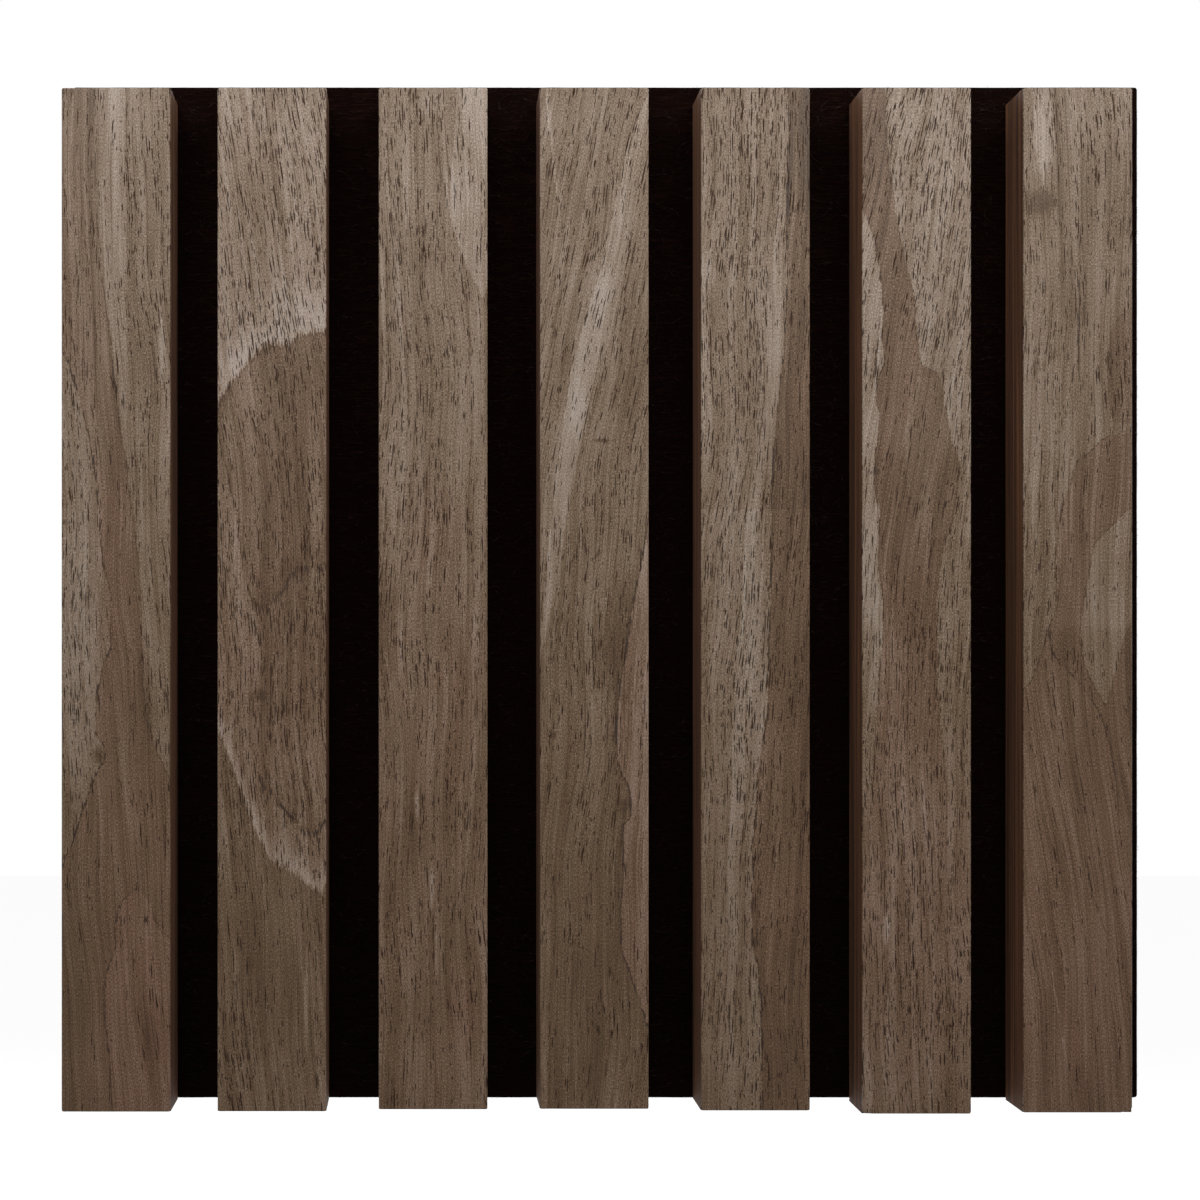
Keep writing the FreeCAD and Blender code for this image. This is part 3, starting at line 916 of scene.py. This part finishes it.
class Wood:
    """Sums what seams and patches change in one sheet: its lightness, redness and pores."""

    CHANNELS = ("light", "red", "pores")

    def __init__(self, tree, x, z, sheet):
        self.tree = tree
        self.x = x
        self.z = z
        self.place = tree.vector(x, z)
        self.sums = {name: getattr(sheet, name) for name in self.CHANNELS}
        self.teeth_along = swing(tree, self.place, *TEETH_ALONG)
        self.teeth_across = swing(tree, self.place, *TEETH_ACROSS)
        self.broken = tree.span(swing(tree, self.place, *LINE_BREAKS), -0.25, 0.1, 0.15, 1.0)
        for feature in sheet.figure:
            if isinstance(feature, Seam):
                self.add_seam(feature)
            else:
                self.add_patch(feature)

    def apply(self, channel, share, amount):
        """Adds an amount to one of the sums, by a share."""
        if amount:
            self.sums[channel] = self.tree.math("MULTIPLY_ADD", share, amount, self.sums[channel])

    def past(self, path, across):
        """How far past a path each place is, its place along it, and the path's two ends."""
        tree = self.tree
        if across:
            points, position, other = path, self.x, self.z
            answers, teeth = (-PANEL_HALF, PANEL_HALF), self.teeth_across
        else:
            points, position, other = [(z, x) for x, z in path], self.z, self.x
            answers, teeth = (-PAST_EDGE, SLAT_WIDTH + PAST_EDGE), self.teeth_along
        low, high = min(points)[0], max(points)[0]
        line = trace(tree, points, position, low, high, answers)
        return tree.plus(tree.minus(other, line), teeth), position, low, high

    def add_seam(self, seam):
        """Adds what one seam changes: past its path, in a band there, and on its line."""
        tree = self.tree
        soft = seam.soft * (SOFTER_ACROSS if seam.across else 1.0)
        past, position, low, high = self.past(seam.path, seam.across)
        start, end = (0.0, SLAT_WIDTH) if seam.across else (-PANEL_HALF, PANEL_HALF)
        if seam.fade:
            here = presence(tree, position, low, high, seam.fade)
        elif low < start and high > end:
            here = 1.0
        else:
            above = tree.math("GREATER_THAN", position, low)
            here = tree.times(above, tree.math("LESS_THAN", position, high))
        beyond = tree.times(tree.span(past, -soft / 2, soft / 2), here)
        edges = [past]
        if seam.until:
            further, *_ = self.past(seam.until, seam.across)
            short = tree.span(further, -soft / 2, soft / 2, 1.0, 0.0)
            beyond = tree.times(beyond, short)
            edges.append(further)
        for channel in self.CHANNELS:
            self.apply(channel, beyond, getattr(seam, channel))
        if seam.glow:
            band = tree.span(past, 0.0, seam.reach, 1.0, 0.0)
            self.apply("light", tree.times(band, beyond), seam.glow)
        if seam.line:
            width = LINE_WIDTH_ACROSS if seam.across else LINE_WIDTH
            drawn = tree.times(here, self.broken)
            for edge, strength in zip(edges, LINE_STRENGTHS):
                thin = tree.span(tree.math("ABSOLUTE", edge), 0.0, width, 1.0, 0.0)
                self.apply("light", tree.times(thin, drawn), -seam.line * strength)

    def add_patch(self, patch):
        """Adds what one oval changes, with an uneven edge."""
        tree = self.tree
        (x, z), (wide, tall) = patch.place, patch.size
        away = tree.vector_math(
            "MULTIPLY_ADD", self.place, (1 / wide, 1 / tall, 0.0), (-x / wide, -z / tall, 0.0)
        )
        uneven = tree.plus(tree.vector_math("LENGTH", away), self.teeth_along)
        share = tree.span(uneven, *PATCH_EDGE, 1.0, 0.0)
        for channel in self.CHANNELS:
            self.apply(channel, share, getattr(patch, channel))


def strokes(tree, place, room, length, width, start, amount):
    """Dark strokes along the grain, at most one in each room, and more where the amount is higher."""
    shrink = (1 / room, 1 / length, 0.0)
    cell = tree.vector_math("MULTIPLY_ADD", place, shrink, (start / room, 0.0, 0.0))
    cells = tree.add("ShaderNodeTexVoronoi", {"Vector": cell, "Scale": 1.0}, voronoi_dimensions="2D")
    away = tree.vector_math("SUBTRACT", cell, cells.outputs["Position"])
    aside, ahead, _ = tree.parts(tree.vector_math("ABSOLUTE", away))
    chance, longer, darker = tree.parts(cells.outputs["Color"])
    here = tree.math("GREATER_THAN", amount, chance)
    share = tree.over(ahead, tree.math("MULTIPLY_ADD", longer, 0.4, 0.12))
    taper = tree.minus(1.0, tree.times(share, share))
    inside = tree.math("MULTIPLY_ADD", taper, width / room / 2, tree.times(aside, -1.0))
    drawn = tree.times(tree.span(inside, *PORE_EDGE), here)
    return tree.times(drawn, tree.math("MULTIPLY_ADD", darker, 0.3, 0.7))


def make_veneer_material(number, left):
    """Walnut: broad and fine streaks along the grain, speckle, pores, the sheet's own figure, and
    painted sheen that leaves the top paler and the bottom warmer.
    """
    sheet = SHEETS[number]
    material, tree, place = new_material(f"walnut_{number}")
    across, _, z = tree.parts(place)
    x = tree.minus(across, left / MM)
    sums = Wood(tree, x, z, sheet).sums
    points = [(at, line) for line, at in sheet.drift]
    grain = trace(tree, points, z, -PANEL_HALF, PANEL_HALF, (-40.0, 60.0))
    other_x = tree.plus(across, SHEET_APART * number)
    other = tree.vector(other_x, z)
    warp = swing(tree, other, *WARP, 1.0)
    u = tree.minus(tree.minus(other_x, grain), warp)
    fibres = tree.vector(u, z)
    clouds = swing(tree, other, *CLOUDS)
    threads = swing(tree, fibres, *GRAIN_THREADS, 1.0)
    value = tree.total(
        tree.math("MULTIPLY_ADD", sums["light"], FIGURE_STRENGTH, WOOD_LIGHTNESS),
        clouds,
        swing(tree, fibres, *GRAIN_BROAD),
        swing(tree, fibres, *GRAIN_MIDDLE),
        swing(tree, fibres, *GRAIN_SPECKS, 1.0),
        tree.span(threads, 0.1, 0.2, 0.0, -THREADS_DARK),
    )
    colour = tree.add("ShaderNodeValToRGB", {0: value})
    elements = colour.color_ramp.elements
    for _ in range(len(WOOD_STOPS) - 2):
        elements.new(0.5)
    for element, (position, tone) in zip(elements, WOOD_STOPS):
        element.position = position
        element.color = opaque(tone)
    redder = tree.vector_math("MULTIPLY", colour.outputs[0], WOOD_RED)
    # Painted light: the wood is made less red and less yellow toward the top, standing in for the
    # lamp's sheen there, and warmer toward the bottom where it falls off
    falloff_red = tree.times(z, PAINTED_FALLOFF_RED_RISE)
    reddish = tree.total(sums["red"], falloff_red, clouds, swing(tree, fibres, *RED_STREAKS))
    redness = tree.span(reddish, 0.0, 1.0, 0.0, 1.0, "LINEAR")
    falloff_share = tree.span(z, -PANEL_HALF, PANEL_HALF / 2, 1.0, 0.0, "LINEAR")
    falloff_tint = tree.mix(falloff_share, opaque((1.0, 1.0, 1.0)), opaque(PAINTED_FALLOFF_YELLOW))
    toned = tree.vector_math("MULTIPLY", tree.mix(redness, colour.outputs[0], redder), falloff_tint)
    rising = tree.math("MULTIPLY_ADD", z, PORES_RISE, sums["pores"])
    amount = tree.plus(rising, swing(tree, fibres, *PORE_STREAKS))
    long_ones = strokes(tree, fibres, *PORES_LONG, amount)
    short_ones = strokes(tree, fibres, *PORES_SHORT, tree.times(amount, SHORT_SHARE))
    pores = tree.math("MAXIMUM", long_ones, short_ones)
    final = tree.mix(pores, toned, opaque(PORE_BROWN))
    roughness = tree.math("MULTIPLY_ADD", pores, 0.5, 0.5)
    height = swing(tree, tree.vector(across, z), *FIBRE_RIDGES, 1.0)
    finish_material(tree, final, roughness, height, bump=0.3, depth=0.05 * MM, Specular_IOR_Level=0.3)
    return material


for name in SLATS:
    number = int(name.split("_")[-1])
    node = f"veneer_face_{number}"
    low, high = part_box(node)
    sheet = SHEETS[number]
    size = high - low
    middle = (low + high) / 2
    veneer = make_veneer_shape(make_veneer_material(number, low.x)).make(
        f"walnut_veneer_{number}",
        {
            "Middle": middle,
            "Half size": size / 2,
            "Corner radius": VENEER_CORNER,
            "Edge radius": VENEER_EDGE,
            "Raggedness": VENEER_RAG,
            "Chip": middle + Vector((sheet.chip[0] * size.x / 2, 0.0, sheet.chip[1] * size.z / 2)),
            "Chip size": sheet.chip_size,
            "Steps X": VENEER_COLUMNS,
            "Steps Y": VENEER_LEVELS,
            "Steps Z": steps_over(size.z, VENEER_CELL),
        },
    )
    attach(veneer, "root")
    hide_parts(node)

# Staples
# Flat wire with a dull zinc coat, driven from behind through the felt into the cores, three to each
# slat. They hold the felt on, and their crowns lie in its dimples.

WIRE_GREY = (0.5, 0.5, 0.49)
WIRE_DULL = (0.31, 0.31, 0.31)
WIRE_MARKS = (1 / 6, 1.0, 1 / 0.12)  # in a millimetre along each axis


def make_wire_material():
    """Drawn wire with a dull zinc coat: lengthwise marks and cloudy spots."""
    material, tree, place = new_material("galvanised_wire")
    marks = tree.noise(tree.vector_math("MULTIPLY", place, WIRE_MARKS), 3.0, 0.6)
    spots = tree.noise(tree.scaled(place, 0.9), 3.0, 0.6)
    colour = tree.mix(tree.span(spots, 0.4, 0.65), opaque(WIRE_GREY), opaque(WIRE_DULL))
    roughness = tree.math("MULTIPLY_ADD", marks, 0.3, 0.28)
    finish_material(tree, colour, roughness, marks, bump=0.25, depth=0.03 * MM, Metallic=1.0)
    return material


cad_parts["staples"].material_slots[0].material = make_wire_material()

# Studio
# A pale floor below the panel, soft light from above and in front of it, from both sides and from
# behind, and a camera that looks straight at its front.

PANEL_MIDDLE = Vector((0.0, -0.01, 0.0))
FLOOR_DROP = 0.45
FLOOR_WIDTH = 6.0
STUDIO_WHITE = (1.0, 1.0, 1.0)
FLOOR_PALE = (0.35, 0.35, 0.35)
FLOOR_GLOW = 0.95  # how brightly it shows by itself, where 1 is white
CAMERA_PLACE = (-0.0477, -0.412, -0.0219)
CAMERA_LENS = 47.28
CAMERA_SHIFT = (0.151, 0.065)
AREA_LIGHTS = {
    # place, width and height, power
    "key_left": ((-0.2, -0.31, 0.36), (0.3, 0.2), 1.72),
    "key_right": ((0.2, -0.31, 0.36), (0.3, 0.2), 1.72),
    "left_light": ((-0.8, 0.15, 0.2), (0.5, 0.6), 2.2),
    "right_light": ((0.8, 0.15, 0.2), (0.5, 0.6), 2.2),
    "back_light": ((0.0, 0.9, 0.5), (0.8, 0.6), 9.0),
}
AMBIENT = 0.04  # strength of the even light on the panel


def seen_by_eye(tree):
    """One for rays that the camera sees, straight, in gloss or through glass."""
    path = tree.add("ShaderNodeLightPath").outputs
    direct = tree.math("MAXIMUM", path["Is Camera Ray"], path["Is Glossy Ray"])
    return tree.math("MAXIMUM", direct, path["Is Transmission Ray"])


def make_floor():
    """A wide square that shows white and keeps the panel's shadow."""
    mesh = bpy.data.meshes.new("studio_floor")
    half = FLOOR_WIDTH / 2
    corners = [(-half, -half), (half, -half), (half, half), (-half, half)]
    mesh.from_pydata([(x, y, -FLOOR_DROP) for x, y in corners], [], [(0, 1, 2, 3)])
    floor = bpy.data.objects.new("studio_floor", mesh)
    bpy.context.scene.collection.objects.link(floor)
    material = bpy.data.materials.new("studio_floor")
    material.use_nodes = True
    material.node_tree.nodes.clear()
    tree = Tree(material.node_tree)
    matt = tree.add("ShaderNodeBsdfDiffuse", {"Color": opaque(FLOOR_PALE)}).outputs[0]
    seen = seen_by_eye(tree)
    lift = {"Color": opaque(STUDIO_WHITE), "Strength": tree.times(seen, FLOOR_GLOW)}
    glow = tree.add("ShaderNodeEmission", lift).outputs[0]
    both = tree.add("ShaderNodeAddShader", {0: matt, 1: glow}).outputs[0]
    tree.add("ShaderNodeOutputMaterial", {"Surface": both})
    mesh.materials.append(material)


def make_world():
    """White behind everything, and a modest even light on it."""
    world = bpy.data.worlds.new("studio")
    world.use_nodes = True
    world.node_tree.nodes.clear()
    tree = Tree(world.node_tree)
    strength = tree.span(seen_by_eye(tree), 0.0, 1.0, AMBIENT, 1.0, "LINEAR")
    white = {"Color": opaque(STUDIO_WHITE), "Strength": strength}
    sky = tree.add("ShaderNodeBackground", white).outputs[0]
    tree.add("ShaderNodeOutputWorld", {"Surface": sky})
    bpy.context.scene.world = world


def make_lights():
    """Soft lamps all round, turned to the panel's middle."""
    for name, (place, size, power) in AREA_LIGHTS.items():
        lamp = bpy.data.lights.new(name, "AREA")
        lamp.shape = "RECTANGLE"
        lamp.size, lamp.size_y = size
        lamp.energy = power
        light = bpy.data.objects.new(name, lamp)
        light.visible_camera = False
        light.location = place
        light.rotation_euler = (PANEL_MIDDLE - Vector(place)).to_track_quat("-Z", "Y").to_euler()
        bpy.context.scene.collection.objects.link(light)


def make_camera():
    """Looks straight at the panel, with its frame shifted to the right and up."""
    lens = bpy.data.cameras.new("camera")
    lens.lens = CAMERA_LENS
    lens.shift_x, lens.shift_y = CAMERA_SHIFT
    camera = bpy.data.objects.new("camera", lens)
    camera.location = CAMERA_PLACE
    camera.rotation_euler = (math.radians(90), 0.0, 0.0)
    bpy.context.scene.collection.objects.link(camera)
    bpy.context.scene.camera = camera


make_floor()
make_world()
make_lights()
make_camera()
bpy.context.scene.view_settings.view_transform = "Standard"
